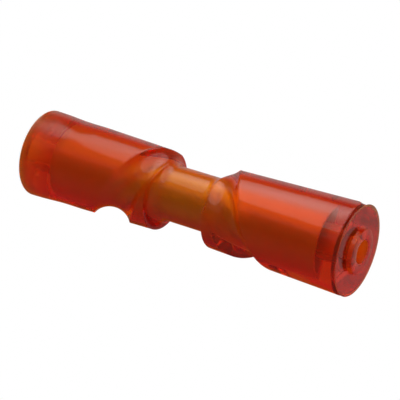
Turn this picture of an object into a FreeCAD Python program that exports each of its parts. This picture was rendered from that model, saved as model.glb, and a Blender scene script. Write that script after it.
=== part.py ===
import FreeCAD, Part
import os

import Sketcher
from FreeCAD import Placement, Rotation, Vector

os.makedirs("parts", exist_ok=True)

# Keel roller of a boat trailer: a cast polyurethane barrel with a narrow waist, a spiral
# flute in each half and a stiffening tube moulded in. It stands on its lower boss, with
# its axis along Z and the origin at the middle of that boss's face.

doc = FreeCAD.newDocument("boat_trailer_roller")

# driving dimensions in millimetres and degrees
SIZES = [
    ("end_diameter", 76.0, "barrel across its end faces"),
    ("barrel_length", 305.0, "between the two end faces"),
    ("shoulder_diameter", 68.3, "barrel where it meets the waist"),
    ("waist_diameter", 47.0, "waist that carries the keel"),
    ("waist_width", 56.0, "between the two shoulders"),
    ("waist_fillet", 10.2, "root of each shoulder"),
    ("rim_chamfer", 1.0, "outer edge of each end face"),
    ("boss_diameter", 37.4, "thrust boss on each end"),
    ("boss_height", 4.0, "boss above the end face"),
    ("boss_chamfer", 0.8, "outer edge of each boss"),
    ("spindle_diameter", 19.0, "spindle that the roller turns on"),
    ("spindle_clearance", 0.4, "bore over the spindle"),
    ("trim_offset", 3.5, "trimming line from the end face"),
    ("trim_depth", 0.5, "depth of the trimming line"),
    ("trim_width", 0.9, "width of the trimming line"),
    ("flute_radius", 19.5, "round section of the flute"),
    ("flute_floor_diameter", 52.4, "circle that the flute's floor lies on"),
    ("flute_lead", 106.0, "travel along the axis in one turn"),
    ("flute_start", 2.4, "full-depth start of the flute above mid-length"),
    ("flute_azimuth", 134.0, "full-depth start of the flute round the axis"),
    ("flute_turn", 305.0, "turn at full depth"),
    ("tube_diameter", 40.0, "outside of the moulded-in tube"),
    ("tube_wall", 3.0, "wall of the tube"),
    ("tube_inset", 24.0, "tube's end inside the end face"),
]

sheet = doc.addObject("Spreadsheet::Sheet", "Sizes")
for row, (alias, value, note) in enumerate(SIZES, start=1):
    sheet.set(f"A{row}", alias)
    sheet.set(f"B{row}", str(value))
    sheet.setAlias(f"B{row}", alias)
    sheet.set(f"C{row}", note)
doc.recompute()

# lengths and angles that follow from the sheet, as expressions
MIDDLE = "(Sizes.barrel_length / 2 + Sizes.boss_height)"
OVERALL = "(Sizes.barrel_length + 2 * Sizes.boss_height)"
UPPER_FACE = "(Sizes.boss_height + Sizes.barrel_length)"
LOWER_SHOULDER = f"({MIDDLE} - Sizes.waist_width / 2)"
UPPER_SHOULDER = f"({MIDDLE} + Sizes.waist_width / 2)"
SHOULDER_HEIGHT = "((Sizes.shoulder_diameter - Sizes.waist_diameter) / 2)"
TAPER = "((Sizes.end_diameter - Sizes.shoulder_diameter) / (Sizes.barrel_length - Sizes.waist_width))"
BORE_DIAMETER = "(Sizes.spindle_diameter + Sizes.spindle_clearance)"
FLUTE_CENTRE = "(Sizes.flute_floor_diameter / 2 + Sizes.flute_radius)"
FLUTE_RISE = f"atan(Sizes.flute_lead / (2 * pi * {FLUTE_CENTRE}))"
FLUTE_HEIGHT = "(Sizes.flute_lead * Sizes.flute_turn / 360)"
FLUTE_TURN = "(Sizes.flute_turn * 1 deg)"
CLEAR_OF_BARREL = "(Sizes.end_diameter / 2 + Sizes.flute_radius + 1)"
RUN_OUT = f"(sqrt({CLEAR_OF_BARREL} ^ 2 - {FLUTE_CENTRE} ^ 2) / cos({FLUTE_RISE}))"
RUN_OUT_ROUND = f"({RUN_OUT} * cos({FLUTE_RISE}))"
RUN_OUT_ALONG = f"({RUN_OUT} * sin({FLUTE_RISE}))"


def size(alias):
    """A value of the sheet as a plain number."""
    return float(sheet.get(alias))


def origin_plane(body, role):
    """One of the body's own base planes."""
    for feature in body.Origin.OriginFeatures:
        if feature.Role == role:
            return feature
    raise RuntimeError(f"{body.Name} has no {role}")


def outline_sketch(body, name, points):
    """A closed outline on the body's XZ plane, whose vertical axis is the roller's.
    Each corner is a radius and a height, both expressions on the sheet."""
    sketch = body.newObject("Sketcher::SketchObject", name)
    sketch.AttachmentSupport = [(origin_plane(body, "XZ_Plane"), "")]
    sketch.MapMode = "FlatFace"
    count = len(points)
    rough = [Vector(10 + 3 * i, 10 + 5 * i, 0) for i in range(count)]
    for i in range(count):
        sketch.addGeometry(Part.LineSegment(rough[i], rough[(i + 1) % count]), False)
    for i in range(count):
        sketch.addConstraint(Sketcher.Constraint("Coincident", i, 2, (i + 1) % count, 1))
    for i, (radius, height) in enumerate(points):
        for direction, expression in (("DistanceX", radius), ("DistanceY", height)):
            rule = Sketcher.Constraint(direction, -1, 1, i, 1, 1.0 + i)
            sketch.setExpression(f"Constraints[{sketch.addConstraint(rule)}]", expression)
    return sketch


def circular_edges(shape, radius, heights):
    """Names of the full circles of this radius round the roller's axis at these heights."""
    names = []
    for i, edge in enumerate(shape.Edges, start=1):
        if not isinstance(edge.Curve, Part.Circle) or abs(edge.Curve.Radius - radius) > 0.001:
            continue
        if any(abs(edge.Curve.Center.z - height) < 0.001 for height in heights):
            names.append(f"Edge{i}")
    return names


def break_edges(body, name, kind, base, radius, heights, expression):
    """A fillet or chamfer on circular edges of the feature before it."""
    doc.recompute()
    names = circular_edges(base.Shape, radius, heights)
    if len(names) != len(heights):
        raise RuntimeError(f"{name} found {len(names)} edges")
    feature = body.newObject(f"PartDesign::{kind}", name)
    feature.Base = (base, names)
    feature.setExpression("Radius" if kind == "Fillet" else "Size", expression)
    return feature


# barrels, waist and bosses turned in one outline
casting = doc.addObject("PartDesign::Body", "CastingBody")
barrel_outline = outline_sketch(
    casting,
    "BarrelOutline",
    [
        ("0", "0"),
        ("Sizes.boss_diameter / 2", "0"),
        ("Sizes.boss_diameter / 2", "Sizes.boss_height"),
        ("Sizes.end_diameter / 2", "Sizes.boss_height"),
        ("Sizes.shoulder_diameter / 2", LOWER_SHOULDER),
        ("Sizes.waist_diameter / 2", LOWER_SHOULDER),
        ("Sizes.waist_diameter / 2", UPPER_SHOULDER),
        ("Sizes.shoulder_diameter / 2", UPPER_SHOULDER),
        ("Sizes.end_diameter / 2", UPPER_FACE),
        ("Sizes.boss_diameter / 2", UPPER_FACE),
        ("Sizes.boss_diameter / 2", OVERALL),
        ("0", OVERALL),
    ],
)
barrel = casting.newObject("PartDesign::Revolution", "Barrel")
barrel.Profile = barrel_outline
barrel.ReferenceAxis = (barrel_outline, ["V_Axis"])
barrel.Angle = 360

lower_face = size("boss_height")
upper_face = lower_face + size("barrel_length")
middle = (lower_face + upper_face) / 2
half_waist = size("waist_width") / 2

# the root of each shoulder is one large radius, the rims and bosses are just broken edges
waist_roots = break_edges(
    casting,
    "WaistRoots",
    "Fillet",
    barrel,
    size("waist_diameter") / 2,
    (middle - half_waist, middle + half_waist),
    f"min(Sizes.waist_fillet; 0.97 * {SHOULDER_HEIGHT}; 0.45 * Sizes.waist_width)",
)
rims = break_edges(
    casting,
    "Rims",
    "Chamfer",
    waist_roots,
    size("end_diameter") / 2,
    (lower_face, upper_face),
    "Sizes.rim_chamfer",
)
boss_edges = break_edges(
    casting,
    "BossEdges",
    "Chamfer",
    rims,
    size("boss_diameter") / 2,
    (0, 2 * middle),
    "min(Sizes.boss_chamfer; 0.8 * Sizes.boss_height)",
)

# a shallow trimming line runs round each end, just inside the rim
TRIM_HEIGHT = "(Sizes.boss_height + Sizes.trim_offset)"
TRIM_FLOOR = f"(Sizes.end_diameter / 2 - Sizes.trim_offset * {TAPER} - Sizes.trim_depth)"
trim_outline = outline_sketch(
    casting,
    "TrimOutline",
    [
        (TRIM_FLOOR, TRIM_HEIGHT),
        (f"{TRIM_FLOOR} + 2 * Sizes.trim_depth", f"{TRIM_HEIGHT} - Sizes.trim_width"),
        (f"{TRIM_FLOOR} + 2 * Sizes.trim_depth", f"{TRIM_HEIGHT} + Sizes.trim_width"),
    ],
)
trim_line = casting.newObject("PartDesign::Groove", "TrimLine")
trim_line.Profile = trim_outline
trim_line.ReferenceAxis = (trim_outline, ["V_Axis"])
trim_line.Angle = 360
mid_plane = casting.newObject("PartDesign::Plane", "MidPlane")
mid_plane.AttachmentSupport = [(origin_plane(casting, "XY_Plane"), "")]
mid_plane.MapMode = "FlatFace"
mid_plane.setExpression("AttachmentOffset.Base.z", MIDDLE)
doc.recompute()
trim_lines = casting.newObject("PartDesign::Mirrored", "TrimLines")
trim_lines.Originals = [trim_line]
trim_lines.MirrorPlane = (mid_plane, [""])
casting.Tip = trim_lines
doc.recompute()

# bore for the spindle, right through
bore_circle = casting.newObject("Sketcher::SketchObject", "BoreCircle")
bore_circle.AttachmentSupport = [(origin_plane(casting, "XY_Plane"), "")]
bore_circle.MapMode = "FlatFace"
bore_circle.addGeometry(Part.Circle(Vector(0, 0, 0), Vector(0, 0, 1), 9), False)
bore_circle.addConstraint(Sketcher.Constraint("Coincident", 0, 3, -1, 1))
bore_circle.addConstraint(Sketcher.Constraint("Diameter", 0, 18))
bore_circle.setExpression("Constraints[1]", BORE_DIAMETER)
bore = casting.newObject("PartDesign::Pocket", "Bore")
bore.Profile = bore_circle
bore.Type = "ThroughAll"
bore.Reversed = True
casting.Tip = bore
doc.recompute()

# the flute is a round section led along a helix of large lead; at both ends the path
# goes on straight, so that the flute grows shallow and leaves the barrel
flute_helix = doc.addObject("Part::Helix", "FluteHelix")
flute_helix.setExpression("Pitch", "Sizes.flute_lead")
flute_helix.setExpression("Height", FLUTE_HEIGHT)
flute_helix.setExpression("Radius", FLUTE_CENTRE)
flute_helix.SegmentLength = 0.25
lead_in = doc.addObject("Part::Line", "LeadIn")
lead_in.setExpression("X1", FLUTE_CENTRE)
lead_in.setExpression("Y1", f"-{RUN_OUT_ROUND}")
lead_in.setExpression("Z1", f"-{RUN_OUT_ALONG}")
lead_in.setExpression("X2", FLUTE_CENTRE)
lead_in.setExpression("Y2", "0")
lead_in.setExpression("Z2", "0")
END_X = f"{FLUTE_CENTRE} * cos({FLUTE_TURN})"
END_Y = f"{FLUTE_CENTRE} * sin({FLUTE_TURN})"
lead_out = doc.addObject("Part::Line", "LeadOut")
lead_out.setExpression("X1", END_X)
lead_out.setExpression("Y1", END_Y)
lead_out.setExpression("Z1", FLUTE_HEIGHT)
lead_out.setExpression("X2", f"{END_X} - {RUN_OUT_ROUND} * sin({FLUTE_TURN})")
lead_out.setExpression("Y2", f"{END_Y} + {RUN_OUT_ROUND} * cos({FLUTE_TURN})")
lead_out.setExpression("Z2", f"{FLUTE_HEIGHT} + {RUN_OUT_ALONG}")
flute_path = doc.addObject("Part::Compound", "FlutePath")
flute_path.Links = [lead_in, flute_helix, lead_out]
doc.recompute()
path_edges = [f"Edge{i}" for i in range(1, len(flute_path.Shape.Edges) + 1)]
flute_section = doc.addObject("Part::Circle", "FluteSection")
flute_section.setExpression("Radius", "Sizes.flute_radius")
flute_section.Placement = Placement(Vector(0, 0, 0), Rotation(Vector(1, 0, 0), -70))
flute_section.setExpression("Placement.Rotation.Angle", f"{FLUTE_RISE} - 90 deg")
flute_section.setExpression("Placement.Base.x", FLUTE_CENTRE)
flute_section.setExpression("Placement.Base.y", f"-{RUN_OUT_ROUND}")
flute_section.setExpression("Placement.Base.z", f"-{RUN_OUT_ALONG}")
upper_cutter = doc.addObject("Part::Sweep", "UpperFluteCutter")
upper_cutter.Sections = [flute_section]
upper_cutter.Spine = (flute_path, path_edges)
upper_cutter.Solid = True
upper_cutter.Frenet = False
upper_cutter.Placement = Placement(Vector(0, 0, 0), Rotation(Vector(0, 0, 1), size("flute_azimuth")))
upper_cutter.setExpression("Placement.Rotation.Angle", "Sizes.flute_azimuth")
upper_cutter.setExpression("Placement.Base.z", f"{MIDDLE} + Sizes.flute_start")

# the lower half has the same flute mirrored, so the two are of opposite hand
lower_cutter = doc.addObject("Part::Mirroring", "LowerFluteCutter")
lower_cutter.Source = upper_cutter
lower_cutter.Normal = Vector(0, 0, 1)
lower_cutter.setExpression("Base.z", MIDDLE)
upper_fluted = doc.addObject("Part::Cut", "UpperFluted")
upper_fluted.Base = casting
upper_fluted.Tool = upper_cutter
both_fluted = doc.addObject("Part::Cut", "BothFluted")
both_fluted.Base = upper_fluted
both_fluted.Tool = lower_cutter
doc.recompute()

# stiffening tube, cast in all round
tube = doc.addObject("PartDesign::Body", "TubeBody")
tube.Label = "core_tube"
TUBE_BOTTOM = "(Sizes.boss_height + Sizes.tube_inset)"
TUBE_TOP = f"({UPPER_FACE} - Sizes.tube_inset)"
tube_outline = outline_sketch(
    tube,
    "TubeOutline",
    [
        ("Sizes.tube_diameter / 2 - Sizes.tube_wall", TUBE_BOTTOM),
        ("Sizes.tube_diameter / 2", TUBE_BOTTOM),
        ("Sizes.tube_diameter / 2", TUBE_TOP),
        ("Sizes.tube_diameter / 2 - Sizes.tube_wall", TUBE_TOP),
    ],
)
tube_wall = tube.newObject("PartDesign::Revolution", "TubeWall")
tube_wall.Profile = tube_outline
tube_wall.ReferenceAxis = (tube_outline, ["V_Axis"])
tube_wall.Angle = 360

# the casting leaves exactly the tube's room
roller = doc.addObject("Part::Cut", "RollerCasting")
roller.Label = "roller_casting"
roller.Base = both_fluted
roller.Tool = tube
doc.recompute()

# every feature has to have come out whole before anything is written
for item in doc.Objects:
    if "Invalid" in item.State or "Error" in item.State:
        raise RuntimeError(f"{item.Name} failed: {item.State}")
for piece in (roller, tube):
    if piece.Shape.isNull() or not piece.Shape.isValid() or len(piece.Shape.Solids) != 1:
        raise RuntimeError(f"{piece.Label} isn't one valid solid")
    print(piece.Label, round(piece.Shape.Volume / 1000, 1), "cubic centimetres")
for piece in (roller, tube):
    piece.Shape.exportStep(f"parts/{piece.Label}.step")
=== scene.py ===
# boat trailer keel roller: translucent polyurethane cast round a steel tube
import math
import time

import bpy
import numpy as np
from mathutils import Matrix, Vector


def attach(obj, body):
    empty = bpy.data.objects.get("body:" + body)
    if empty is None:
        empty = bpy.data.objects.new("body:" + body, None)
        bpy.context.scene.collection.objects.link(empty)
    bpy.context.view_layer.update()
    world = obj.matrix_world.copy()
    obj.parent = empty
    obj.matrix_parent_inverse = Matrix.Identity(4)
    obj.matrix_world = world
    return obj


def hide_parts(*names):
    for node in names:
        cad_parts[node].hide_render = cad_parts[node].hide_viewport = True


startTime = time.time()
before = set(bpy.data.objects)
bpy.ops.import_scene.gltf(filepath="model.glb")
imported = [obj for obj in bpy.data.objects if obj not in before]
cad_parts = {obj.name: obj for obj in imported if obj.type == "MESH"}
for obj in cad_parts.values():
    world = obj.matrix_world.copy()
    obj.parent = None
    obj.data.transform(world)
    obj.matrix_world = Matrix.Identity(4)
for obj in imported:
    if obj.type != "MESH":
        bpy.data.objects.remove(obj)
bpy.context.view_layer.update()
scene = bpy.context.scene


def report(stage):
    print(f"{stage}: {time.time() - startTime:.1f} s")


# the photograph's viewing angle: the roller lies across the picture, so the camera is rolled
view = {
    "target": Vector((0.0, 0.0, 0.1565)),        # middle of the roller
    "back": Vector((0.0, -0.884501, 0.466539)),  # from the roller towards the camera
    "right": Vector((-0.299007, 0.445195, 0.844035)),
    "up": Vector((-0.954251, -0.139499, -0.264472)),
    "distance": 1.40168,
    "lens": 152.509,
    "shift": (0.015839, -0.001475),
}


def addCamera(v):
    data = bpy.data.cameras.new("camera")
    camera = bpy.data.objects.new("camera", data)
    scene.collection.objects.link(camera)
    turn = Matrix((v["right"], v["up"], v["back"])).transposed().to_4x4()
    camera.matrix_world = Matrix.Translation(v["target"] + v["back"] * v["distance"]) @ turn
    data.lens = v["lens"]
    data.sensor_width = 36
    data.shift_x, data.shift_y = v["shift"]
    data.clip_start = 0.05
    scene.camera = camera


addCamera(view)
scene.view_settings.view_transform = "Standard"
report("camera")


# shader maths: sums of wires add Math nodes, node() adds any other kind
class Wire:
    def __init__(self, tree, socket=None):
        self.tree = tree
        self.socket = socket

    def node(self, kind, settings=None, inputs=None, out=0):
        made = self.tree.nodes.new(kind)
        for name, value in (settings or {}).items():
            if name == "stops":
                ramp = made.color_ramp
                while len(ramp.elements) < len(value):
                    ramp.elements.new(0.5)
                for element, (place, colour) in zip(ramp.elements, value):
                    element.position = place
                    element.color = colour
            else:
                setattr(made, name, value)
        for name, value in (inputs or {}).items():
            if isinstance(value, Wire):
                self.tree.links.new(value.socket, made.inputs[name])
            else:
                made.inputs[name].default_value = value
        return Wire(self.tree, made.outputs[out]) if made.outputs else None

    def math(self, operation, *values, clamp=False):
        return self.node("ShaderNodeMath", {"operation": operation, "use_clamp": clamp},
                         dict(enumerate(values)))

    def __add__(self, other):
        return self.math("ADD", self, other)

    def __sub__(self, other):
        return self.math("SUBTRACT", self, other)

    def __rsub__(self, other):
        return self.math("SUBTRACT", other, self)

    def __mul__(self, other):
        return self.math("MULTIPLY", self, other)

    def __truediv__(self, other):
        return self.math("DIVIDE", self, other)

    __radd__ = __add__
    __rmul__ = __mul__

    # 0 below low, 1 above high, with a soft step between
    def step(self, low, high):
        return self.node("ShaderNodeMapRange", {"interpolation_type": "SMOOTHSTEP"},
                         {"Value": self, "From Min": low, "From Max": high})

    # 1 between low and high, fading to 0 over the distance soft outside them
    def band(self, low, high, soft):
        return self.step(low - soft, low) * (1 - self.step(high, high + soft))

    # distance of the point (self, other) from a place
    def far(self, here, other, there):
        a = self - here
        b = other - there
        return self.math("SQRT", a * a + b * b)

    # 1 on the straight stroke between two places, fading out over its half width
    def stroke(self, other, here, there, half):
        dx, dy = there[0] - here[0], there[1] - here[1]
        a = self - here[0]
        b = other - here[1]
        along = (a * dx + b * dy).math("DIVIDE", a * dx + b * dy, dx * dx + dy * dy, clamp=True)
        off = (a - along * dx).far(0.0, b - along * dy, 0.0)
        return 1 - off.step(half * 0.4, half)

    # one colour turned towards another as the factor rises
    def tint(self, factor, first, second):
        made = self.node("ShaderNodeMix", {"data_type": "RGBA"}, {"Factor": factor}).socket.node
        for socket, colour in ((made.inputs[6], first), (made.inputs[7], second)):
            if isinstance(colour, Wire):
                self.tree.links.new(colour.socket, socket)
            else:
                socket.default_value = colour
        return Wire(self.tree, made.outputs[2])


def newMaterial(name):
    made = bpy.data.materials.new(name)
    made.use_nodes = True
    made.node_tree.nodes.clear()
    return made, Wire(made.node_tree)


def axes(start):
    place = start.node("ShaderNodeTexCoord", out="Object")
    x = place.node("ShaderNodeSeparateXYZ", inputs={"Vector": place}, out="X")
    split = x.socket.node
    return place, x, Wire(start.tree, split.outputs["Y"]), Wire(start.tree, split.outputs["Z"])


# modelling steps shared by the pieces
def clearSelection():
    if bpy.context.object and bpy.context.object.mode != "OBJECT":
        bpy.ops.object.mode_set(mode="OBJECT")
    bpy.ops.object.select_all(action="DESELECT")


# a line of points drawn one by one: the first vertex is dragged on from corner to corner
def drawOutline(name, corners):
    clearSelection()
    bpy.ops.mesh.primitive_plane_add(size=0.001, location=(0, 0, 0))
    line = bpy.context.object
    line.name = name
    bpy.context.tool_settings.mesh_select_mode = (True, False, False)
    bpy.ops.object.mode_set(mode="EDIT")
    bpy.ops.mesh.select_all(action="SELECT")
    bpy.ops.mesh.merge(type="CENTER")
    here = Vector((0, 0, 0))
    for n, (radius, height) in enumerate(corners):
        there = Vector((radius, 0, height))
        if n == 0:
            bpy.ops.transform.translate(value=there - here)
        else:
            bpy.ops.mesh.extrude_region_move(TRANSFORM_OT_translate={"value": there - here})
        here = there
    bpy.ops.object.mode_set(mode="OBJECT")
    return line


def selectPoints(piece, test):
    bpy.ops.object.mode_set(mode="OBJECT")
    piece.data.update()
    for vertex in piece.data.vertices:
        vertex.select = bool(test(vertex.co))
    for edge in piece.data.edges:
        edge.select = all(piece.data.vertices[v].select for v in edge.vertices)
    for face in piece.data.polygons:
        face.select = all(piece.data.vertices[v].select for v in face.vertices)
    bpy.ops.object.mode_set(mode="EDIT")


def roundCorner(piece, radius, height, width, segments):
    bpy.context.tool_settings.mesh_select_mode = (True, False, False)
    near = Vector((radius, 0, height))
    selectPoints(piece, lambda p: (p - near).length < 2e-5)
    bpy.ops.mesh.bevel(affect="VERTICES", offset=width, segments=segments, profile=0.5)
    bpy.ops.object.mode_set(mode="OBJECT")


# splits the edges of a drawn outline until none is longer than the step for its place
def splitEdges(piece, stepAt):
    bpy.context.tool_settings.mesh_select_mode = (False, True, False)
    bpy.ops.object.mode_set(mode="OBJECT")
    mesh = piece.data
    cuts = {}
    for edge in mesh.edges:
        a, b = (mesh.vertices[v].co for v in edge.vertices)
        middle = (a + b) / 2
        n = math.ceil((a - b).length / stepAt(middle)) - 1
        if n > 0:
            cuts.setdefault(n, []).append((a.copy(), b.copy()))
    for n, edges in cuts.items():
        bpy.ops.object.mode_set(mode="EDIT")
        bpy.ops.mesh.select_all(action="DESELECT")
        bpy.ops.object.mode_set(mode="OBJECT")
        for edge in mesh.edges:
            a, b = (mesh.vertices[v].co for v in edge.vertices)
            for p, q in edges:
                if (a - p).length + (b - q).length < 1e-6 or (a - q).length + (b - p).length < 1e-6:
                    edge.select = True
        bpy.ops.object.mode_set(mode="EDIT")
        bpy.ops.mesh.subdivide(number_cuts=n)
        bpy.ops.object.mode_set(mode="OBJECT")


def spinOutline(piece, columns):
    clearSelection()
    piece.select_set(True)
    bpy.context.view_layer.objects.active = piece
    bpy.ops.object.mode_set(mode="EDIT")
    bpy.ops.mesh.select_all(action="SELECT")
    bpy.ops.mesh.spin(steps=columns, angle=math.tau, center=(0, 0, 0), axis=(0, 0, 1))
    bpy.ops.mesh.select_all(action="SELECT")
    bpy.ops.mesh.remove_doubles(threshold=2e-6)
    bpy.ops.mesh.normals_make_consistent(inside=False)
    bpy.ops.object.mode_set(mode="OBJECT")
    bpy.ops.object.shade_smooth()


# the casting in millimetres, the same sizes as the solid's
casting = {
    "length": 305.0,
    "endRadius": 38.0,
    "shoulderRadius": 34.15,
    "waistRadius": 23.5,
    "waistWidth": 56.0,
    "waistFillet": 10.2,
    "filletSteps": 14,
    "rimRound": (0.15, 1.2),     # the end in view, then the far one, worn rounder
    "shoulderRound": 0.8,
    "bossRadius": 18.7,
    "bossHeight": 4.0,
    "bossRound": 0.35,
    "bossFoot": 0.25,
    "boreRadius": 9.7,
    "boreRound": 0.4,
    "trimOffset": 3.6,      # the trimmed groove runs from here to the thin lip of the end face
    "trimDepth": 2.0,
    "farTrimDepth": 0.3,
    "trimShape": ((0.0, 0), (0.78, 1), (0.92, 0.1)),     # share of its width, share of its depth
    "lipRadius": 37.95,
    "nickFrom": 141.6,      # where the knife ran off and took a sliver from the barrel
    "nickDepth": 1.9,
    "nickAzimuth": 172.0,
    "nickWidth": 24.0,
    "nickIn": 1.5,
    "nickOut": 2.2,
    "rimBand": 2.0,         # the nick stays this close to the rim's radius
    "dip": 0.5,             # the far barrel is a little slack here, then flares to its rim
    "dipFrom": 96.0,
    "dipTo": 143.0,
    "columns": 232,
    "fineStep": 0.82,       # rows where the flutes run
    "fineFrom": 12.0,
    "fineTo": 118.0,
    "coarseStep": 3.0,
    "fluteRadius": 19.5,
    "fluteCentre": 45.7,    # from the roller's axis to the middle of the flute's section
    "fluteLead": 106.0,
    "fluteStart": 2.4,      # height above the middle where the helix begins
    "fluteAzimuth": 134.0,
    "fluteTurn": 305.0,
    "fluteStep": 1.25,      # degrees from one place on the helix to the next
    "fluteReach": 26.0,     # past the middle, each flute keeps to its own half from here on
    "carveTo": 146.0,
    "runOutSteps": 53,
    "runOutStep": 0.8,
    "crestRound": 0.8,      # how far the flutes' edges are softened
}
middle = casting["length"] / 2 + casting["bossHeight"]


def coneRadius(c, x):
    half = c["length"] / 2
    along = (half - x) / (half - c["waistWidth"] / 2)
    return c["endRadius"] - (c["endRadius"] - c["shoulderRadius"]) * along


# one half of the outside, from the middle of the waist to the bore, as radius and distance
def halfOutline(c, side):
    half = c["length"] / 2
    shoulder = c["waistWidth"] / 2
    root = c["waistFillet"]
    corners = [(c["waistRadius"], 0.0), (c["waistRadius"], shoulder - root)]
    for n in range(1, c["filletSteps"] + 1):
        turn = math.pi / 2 * n / c["filletSteps"]
        corners.append((c["waistRadius"] + root * (1 - math.cos(turn)),
                        shoulder - root + root * math.sin(turn)))
    corners.append((c["shoulderRadius"], shoulder))
    trim = half - c["trimOffset"]
    depth = c["trimDepth"] if side > 0 else c["farTrimDepth"]
    for share, sunk in c["trimShape"]:
        x = trim + share * c["trimOffset"]
        corners.append((coneRadius(c, x) - sunk * depth, x))
    corners.append((c["lipRadius"], half))
    corners.append((c["bossRadius"], half))
    corners.append((c["bossRadius"], half + c["bossHeight"]))
    corners.append((c["boreRadius"], half + c["bossHeight"]))
    return corners


# where the flute leaves the outside: the lowest radius that its round section reaches
def fluteSurface(c, x, turn):
    lead = c["fluteLead"]
    centre = c["fluteCentre"]
    rise = math.atan2(lead, math.tau * centre)
    start = math.radians(c["fluteAzimuth"])
    swept = math.radians(c["fluteTurn"])
    path = []
    steps = int(c["fluteTurn"] / c["fluteStep"])
    for n in range(steps + 1):
        a = swept * n / steps
        path.append((c["fluteStart"] + lead * a / math.tau, start + a, centre))
    # straight run-outs, tangent to the helix at both of its ends
    for sign, a in ((-1, 0.0), (1, swept)):
        for n in range(1, c["runOutSteps"] + 1):
            s = n * c["runOutStep"]
            t = s * math.cos(rise)
            path.append((c["fluteStart"] + lead * a / math.tau + sign * s * math.sin(rise),
                         start + a + sign * math.atan2(t, centre), math.hypot(centre, t)))
    lowest = np.full(x.shape, 1e3)
    radius = c["fluteRadius"]
    for x0, a0, q in path:
        near = np.abs(x - x0) < radius
        if not near.any():
            continue
        d = (turn[near] - a0 + math.pi) % math.tau - math.pi
        inside = radius ** 2 - (x[near] - x0) ** 2 - (q * np.sin(d)) ** 2
        hit = (inside > 0) & (np.cos(d) > 0)
        r = np.where(hit, q * np.cos(d) - np.sqrt(np.clip(inside, 0, None)), 1e3)
        lowest[near] = np.minimum(lowest[near], r)
    return lowest


# the flutes are carved into the spun casting by drawing its points in towards the axis
def carveFlutes(piece, c):
    mesh = piece.data
    co = np.empty(len(mesh.vertices) * 3)
    mesh.vertices.foreach_get("co", co)
    co = co.reshape(-1, 3) * 1000
    r = np.hypot(co[:, 0], co[:, 1])
    turn = np.arctan2(co[:, 1], co[:, 0])
    x = co[:, 2] - middle
    outside = (r > c["waistRadius"] - 0.01) & (np.abs(x) < c["carveTo"])
    rim = (r > c["endRadius"] - c["rimBand"]) & (x > c["nickFrom"])
    dip = np.clip((-x - c["dipFrom"]) / (c["dipTo"] - c["dipFrom"]), 0, 1)
    new = np.where(outside, r - c["dip"] * np.sin(np.pi * dip) ** 2, r)
    for side in (1, -1):
        here = outside & (side * x > -c["fluteReach"])
        flute = fluteSurface(c, side * x[here], turn[here])
        k = c["crestRound"]
        h = np.clip(k - np.abs(new[here] - flute), 0, None) / k
        new[here] = np.minimum(new[here], flute) - h * h * k / 4
    aside = (turn - math.radians(c["nickAzimuth"]) + math.pi) % math.tau - math.pi
    aside = np.clip(1 - (np.degrees(aside) / c["nickWidth"]) ** 2, 0, 1)
    slope = np.clip((x - c["nickFrom"]) / c["nickIn"], 0, 1)
    slope = slope * np.clip((c["length"] / 2 - x) / c["nickOut"], 0, 1)
    new = np.where(rim, new - c["nickDepth"] * aside * slope, new)
    scale = np.where(outside | rim, new / r, 1)
    co[:, 0] *= scale
    co[:, 1] *= scale
    mesh.vertices.foreach_set("co", (co / 1000).ravel())
    mesh.update()


def makeCasting(c):
    upper = [(r, middle + x) for r, x in halfOutline(c, 1)]
    lower = [(r, middle - x) for r, x in halfOutline(c, -1)[1:]]
    loop = list(reversed(lower)) + upper
    corners = [(r / 1000, z / 1000) for r, z in loop]
    line = drawOutline("castRoller", corners)
    # the bore closes the outline
    selectPoints(line, lambda p: abs(p.x - c["boreRadius"] / 1000) < 1e-6)
    bpy.context.tool_settings.mesh_select_mode = (True, False, False)
    bpy.ops.mesh.edge_face_add()
    bpy.ops.object.mode_set(mode="OBJECT")
    end = c["length"] / 2
    for side in (1, -1):
        for radius, x, width, segments in (
            (c["lipRadius"], end, c["rimRound"][0 if side > 0 else 1], 3),
            (c["bossRadius"], end + c["bossHeight"], c["bossRound"], 3),
            (c["bossRadius"], end, c["bossFoot"], 2),
            (c["boreRadius"], end + c["bossHeight"], c["boreRound"], 2),
            (c["shoulderRadius"], c["waistWidth"] / 2, c["shoulderRound"], 3),
        ):
            roundCorner(line, radius / 1000, (middle + side * x) / 1000, width / 1000, segments)
    fine = c["fineStep"] / 1000
    coarse = c["coarseStep"] / 1000

    def stepAt(p):
        x = abs(p.z * 1000 - middle)
        outside = p.x * 1000 > c["waistRadius"] - 1
        nick = p.x * 1000 > c["endRadius"] - 3 and p.z * 1000 - middle > c["nickFrom"]
        if outside and c["fineFrom"] < x < c["fineTo"]:
            return fine
        return fine * 1.5 if nick else coarse * (1 if outside else 2.5)

    splitFluted(line, c)
    splitEdges(line, stepAt)
    spinOutline(line, c["columns"])
    carveFlutes(line, c)
    return line


# the long cone edge is one edge so far: it gets points where the fine rows begin and end
def splitFluted(line, c):
    bpy.ops.object.mode_set(mode="EDIT")
    for side in (1, -1):
        for x in (c["fineFrom"], c["fineTo"], c["nickFrom"]):
            bpy.ops.mesh.select_all(action="SELECT")
            bpy.ops.mesh.bisect(plane_co=(0, 0, (middle + side * x) / 1000), plane_no=(0, 0, 1))
    bpy.ops.object.mode_set(mode="OBJECT")


castRoller = makeCasting(casting)
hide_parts("roller_casting")
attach(castRoller, "root")
report(f"casting, {len(castRoller.data.polygons)} faces")


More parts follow.
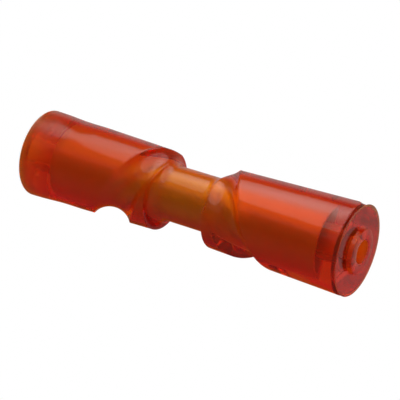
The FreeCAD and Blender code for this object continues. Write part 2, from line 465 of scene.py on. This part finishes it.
# red-orange polyurethane, mostly clear with a little haze: light is coloured on its way through
resin = {
    "ior": 1.5,
    "roughness": 0.09,
    "clearColour": (1.0, 0.71, 0.12, 1),
    "haze": 0.14,
    "hazeColour": (1.0, 0.116, 0.015, 1),
    "hazeReach": (0.017, 0.013, 0.005),
    "absorbColour": (1.0, 0.566, 0.02, 1),
    "absorbDensity": 97.6,
    "rippleHeight": 0.0004,
    "rippleStrength": 0.35,
    "rippleScale": 45.0,
    "cutFrom": 0.30545,       # the knife's cut beside the end face in view is duller, and painted darker as shade in its groove
    "cutTo": 0.30875,
    "cutRadius": 0.0352,
    "cutEdge": 0.0001,
    # painted shade: darker colours for the cut groove, which the scratches also take as their own marks
    "shadeAndScratchClear": (0.50, 0.12, 0.01, 1),
    "shadeAndScratchHaze": (0.30, 0.02, 0.001, 1),
    "cutRoughness": 0.12,
    "frost": 0.45,            # the far end face and the bore are duller
    "frostBelow": 0.0042,
    "boreRadius": 0.0099,
    "frostEdge": 0.0004,
    "dull": 0.16,             # the far end is rubbed duller
    "dullFrom": 0.020,
    "dullTo": 0.036,
    "scratchHalf": 0.0005,
    "scratchRoughness": 0.6,
    "faceTop": 0.3095,        # the scratches end below the boss's own face
    "scratches": [            # on the end face in view, in metres
        ((0.0254, -0.0252), (0.0166, -0.0130)),
        ((0.0068, -0.0368), (0.0100, -0.0272)),
        ((0.0100, -0.0272), (0.0063, -0.0215)),
        ((-0.0246, -0.0254), (-0.0135, -0.0243)),
    ],
}


def resinMaterial(m):
    made, start = newMaterial("castPolyurethane")
    place, x, y, z = axes(start)
    radius = start.math("SQRT", x * x + y * y)
    edge = m["cutEdge"]
    # the cut groove's band: really duller, and tinted darker below as painted shade
    cut = z.band(m["cutFrom"], m["cutTo"], edge) * radius.step(m["cutRadius"], m["cutRadius"] + 2 * edge)
    onFace = z.step(m["cutTo"], m["cutTo"] + edge) * (1 - z.step(m["faceTop"], m["faceTop"] + edge))
    scratched = onFace * 0
    for here, there in m["scratches"]:
        mark = onFace * x.stroke(y, here, there, m["scratchHalf"])
        scratched = scratched.math("MAXIMUM", scratched, mark)
    farEnd = 1 - z.step(m["frostBelow"], m["frostBelow"] + m["frostEdge"])
    inBore = 1 - radius.step(m["boreRadius"], m["boreRadius"] + m["frostEdge"])
    frosted = start.math("MAXIMUM", farEnd, inBore)
    roughness = (m["roughness"] + cut * m["cutRoughness"] + scratched * m["scratchRoughness"]
                 + frosted * m["frost"] + (1 - z.step(m["dullFrom"], m["dullTo"])) * m["dull"])
    # painted shade on the cut groove's band, real darker marks on the scratches
    cutShadeAndScratches = cut.math("MAXIMUM", cut, scratched)
    ripple = start.node("ShaderNodeTexNoise", inputs={
        "Vector": place, "Scale": m["rippleScale"], "Detail": 2.0})
    bump = start.node("ShaderNodeBump", inputs={
        "Height": ripple, "Distance": m["rippleHeight"], "Strength": m["rippleStrength"]}, out="Normal")
    clear = start.node("ShaderNodeBsdfPrincipled", inputs={
        "Base Color": start.tint(cutShadeAndScratches, m["clearColour"], m["shadeAndScratchClear"]),
        "Roughness": roughness,
        "IOR": m["ior"],
        "Transmission Weight": 1.0,
        "Normal": bump,
    })
    haze = start.node("ShaderNodeBsdfPrincipled", inputs={
        "Base Color": start.tint(cutShadeAndScratches, m["hazeColour"], m["shadeAndScratchHaze"]),
        "Roughness": roughness,
        "IOR": m["ior"],
        "Subsurface Weight": 1.0,
        "Subsurface Radius": m["hazeReach"],
        "Subsurface Scale": 1.0,
        "Normal": bump,
    })
    surface = start.node("ShaderNodeMixShader", inputs={0: m["haze"], 1: clear, 2: haze})
    inside = start.node("ShaderNodeVolumeAbsorption", inputs={
        "Color": m["absorbColour"], "Density": m["absorbDensity"]})
    start.node("ShaderNodeOutputMaterial", inputs={"Surface": surface, "Volume": inside})
    return made


castRoller.data.materials.append(resinMaterial(resin))


# the tube moulded in the middle, cut off square at its ends, its edges slightly rounded
tube = {
    "radius": 20.0,
    "wall": 3.0,
    "low": 28.0,
    "high": 285.0,
    "columns": 128,
    "edgeRound": 0.4,
    "rowStep": 0.008,
    "sharpAngle": 40.0,
}


def makeTube(t):
    inner = t["radius"] - t["wall"]
    corners = [(inner, t["low"]), (t["radius"], t["low"]), (t["radius"], t["high"]), (inner, t["high"])]
    line = drawOutline("coreTube", [(r / 1000, z / 1000) for r, z in corners])
    bpy.context.tool_settings.mesh_select_mode = (True, False, False)
    selectPoints(line, lambda p: abs(p.x - inner / 1000) < 1e-6)
    bpy.ops.mesh.edge_face_add()
    for r, z in corners:
        roundCorner(line, r / 1000, z / 1000, t["edgeRound"] / 1000, 2)
    splitEdges(line, lambda p: t["rowStep"])
    spinOutline(line, t["columns"])
    bpy.ops.object.shade_smooth_by_angle(angle=math.radians(t["sharpAngle"]))
    return line


coreTube = makeTube(tube)
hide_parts("core_tube")
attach(coreTube, "root")
report("core tube")

steel = {
    "colour": (1.0, 0.58, 0.05, 1),
    "metallic": 0.40,
    "roughness": 0.35,
    "mottle": 0.1,
    "mottleScale": 60.0,
}


def steelMaterial(m):
    made, start = newMaterial("primedSteelTube")
    place = start.node("ShaderNodeTexCoord", out="Object")
    mottle = start.node("ShaderNodeTexNoise", inputs={
        "Vector": place, "Scale": m["mottleScale"], "Detail": 4.0})
    surface = start.node("ShaderNodeBsdfPrincipled", inputs={
        "Base Color": m["colour"],
        "Metallic": m["metallic"],
        "Roughness": m["roughness"] + m["mottle"] * (mottle - 0.5),
    })
    start.node("ShaderNodeOutputMaterial", inputs={"Surface": surface})
    return made


coreTube.data.materials.append(steelMaterial(steel))

# a pale floor that gives its own white light and casts nothing back on the roller
floor = {
    "size": 30.0,
    "glow": 1.0,
}


def makeFloor(f):
    clearSelection()
    bpy.ops.mesh.primitive_plane_add(size=f["size"], location=(0, 0, 0))
    plane = bpy.context.object
    plane.name = "floor"
    made, start = newMaterial("paleFloor")
    glow = start.node("ShaderNodeEmission", inputs={"Color": (1, 1, 1, 1), "Strength": f["glow"]})
    start.node("ShaderNodeOutputMaterial", inputs={"Surface": glow})
    plane.data.materials.append(made)
    plane.visible_diffuse = False
    plane.visible_glossy = False
    plane.visible_transmission = False
    plane.visible_volume_scatter = False
    plane.visible_shadow = False


makeFloor(floor)

# soft light: one round box over the roller with a dimmer cloth hanging down in front of it,
# and what stands around them as seen by turning about the roller's axis, from the floor in
# front through the box to the board behind
studio = {
    "overhead": Vector((-0.830, -0.557, 0.0)),   # from the roller up to the box
    "across": Vector((-0.453, 0.676, 0.581)),    # along one side of the box
    "boxHeight": 0.64,
    "acrossFrom": -0.9,
    "acrossTo": 0.72,
    "alongFrom": -0.70,
    "alongTo": 0.80,
    "discAcross": 0.104,
    "discAlong": 0.172,
    "discRadius": 0.446,     # its short radius
    "discAspect": 0.729,
    "discTurn": -35.7,
    "discEdge": 0.055,
    "discGlow": 1.064,
    "spotGlow": 1.254,       # the lamp behind the cloth
    "spotAcross": 0.144,
    "spotAlong": 0.36,
    "spotReach": 0.33,
    "apronGlow": 0.163,
    "apronFrom": -0.726,
    "apronSide": 0.6,
    "apronEdge": (0.15, 0.1),
    "around": [             # turn, colour beyond the far end, colour beyond the near end
        (-150, (0.22, 0.17, 0.11), (0.26, 0.23, 0.15)),
        (-110, (0.00, 0.10, 0.04), (0.08, 0.19, 0.11)),
        (-80, (0.07, 0.15, 0.09), (0.48, 0.24, 0.06)),
        (-60, (0.72, 0.24, 0.00), (0.51, 0.26, 0.05)),
        (-40, (0.00, 0.12, 0.00), (0.36, 0.22, 0.08)),
        (-20, (0.52, 0.80, 0.47), (0.50, 0.10, 0.02)),
        (0, (0.00, 0.22, 0.04), (0.60, 0.20, 0.06)),
        (30, (0.53, 0.12, 0.09), (0.37, 0.24, 0.13)),
        (45, (0.46, 0.46, 0.42), (0.42, 0.50, 0.34)),
        (60, (0.41, 0.42, 0.42), (0.46, 0.45, 0.22)),
        (85, (0.55, 0.30, 0.26), (0.75, 0.38, 0.35)),
        (110, (0.36, 0.09, 0.00), (0.52, 0.00, 0.01)),
        (150, (0.33, 0.04, 0.07), (0.33, 0.14, 0.11)),
    ],
    "sideBlend": 0.45,
}


def addSoftBox(s):
    up = s["overhead"].normalized()
    across = s["across"].normalized()
    along = up.cross(across).normalized()
    width = s["acrossTo"] - s["acrossFrom"]
    depth = s["alongTo"] - s["alongFrom"]
    data = bpy.data.lights.new("softBox", "AREA")
    data.shape = "RECTANGLE"
    data.size = width
    data.size_y = depth
    data.energy = width * depth * math.pi     # 1 a unit of Strength, seen straight on
    data.use_nodes = True
    tree = data.node_tree
    tree.nodes.clear()
    start = Wire(tree)
    place = start.node("ShaderNodeNewGeometry", out="Parametric")
    u = start.node("ShaderNodeSeparateXYZ", inputs={"Vector": place}, out="X")
    v = Wire(tree, u.socket.node.outputs["Y"])
    a = u * width + s["acrossFrom"]
    b = v * depth + s["alongFrom"]
    slant = math.radians(s["discTurn"])
    da = a - s["discAcross"]
    db = b - s["discAlong"]
    narrow = da * math.cos(slant) + db * math.sin(slant)
    long = db * math.cos(slant) - da * math.sin(slant)
    fromMiddle = narrow.far(0.0, long * s["discAspect"], 0.0)
    edge = s["discEdge"] / 2
    disc = 1 - fromMiddle.step(s["discRadius"] - edge, s["discRadius"] + edge)
    spot = (1 - a.far(s["spotAcross"], b, s["spotAlong"]).step(0.0, s["spotReach"])) * s["spotGlow"]
    soft, softSide = s["apronEdge"]
    apron = (a.band(s["apronFrom"], s["discAcross"], soft)
             * b.band(-s["apronSide"], s["apronSide"], softSide) * s["apronGlow"])
    glow = start.node("ShaderNodeEmission", inputs={
        "Color": (1, 1, 1, 1),
        "Strength": start.math("MAXIMUM", disc * (spot + s["discGlow"]), apron)})
    start.node("ShaderNodeOutputLight", inputs={"Surface": glow})
    box = bpy.data.objects.new("softBox", data)
    scene.collection.objects.link(box)
    centre = (view["target"] + up * s["boxHeight"] + across * (s["acrossFrom"] + s["acrossTo"]) / 2
              + along * (s["alongFrom"] + s["alongTo"]) / 2)
    turn = Matrix((across, along, across.cross(along))).transposed().to_4x4()
    box.matrix_world = Matrix.Translation(centre) @ turn
    box.visible_camera = False


def makeStudio(s):
    world = bpy.data.worlds.new("studio")
    scene.world = world
    world.use_nodes = True
    world.node_tree.nodes.clear()
    start = Wire(world.node_tree)
    way = start.node("ShaderNodeTexCoord", out="Generated")
    x = start.node("ShaderNodeSeparateXYZ", inputs={"Vector": way}, out="X")
    y = Wire(start.tree, x.socket.node.outputs["Y"])
    z = Wire(start.tree, x.socket.node.outputs["Z"])
    turn = start.math("ARCTAN2", y, 0 - x) / math.tau + 0.5
    seen = []
    for side in (1, 2):
        places = [((entry[0] + 180) / 360, entry[side] + (1,)) for entry in s["around"]]
        first, last = places[0], places[-1]
        share = (1 - last[0]) / (first[0] + 1 - last[0])
        seam = tuple(a + (b - a) * share for a, b in zip(last[1], first[1]))
        seen.append(start.node("ShaderNodeValToRGB", {"stops": [(0.0, seam)] + places + [(1.0, seam)]},
                               {"Fac": turn}, out="Color"))
    light = start.tint(z.step(-s["sideBlend"], s["sideBlend"]), seen[0], seen[1])
    background = start.node("ShaderNodeBackground", inputs={"Color": light, "Strength": 1.0})
    start.node("ShaderNodeOutputWorld", inputs={"Surface": background})


addSoftBox(studio)
makeStudio(studio)
report("floor and light")

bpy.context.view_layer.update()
report("size written")
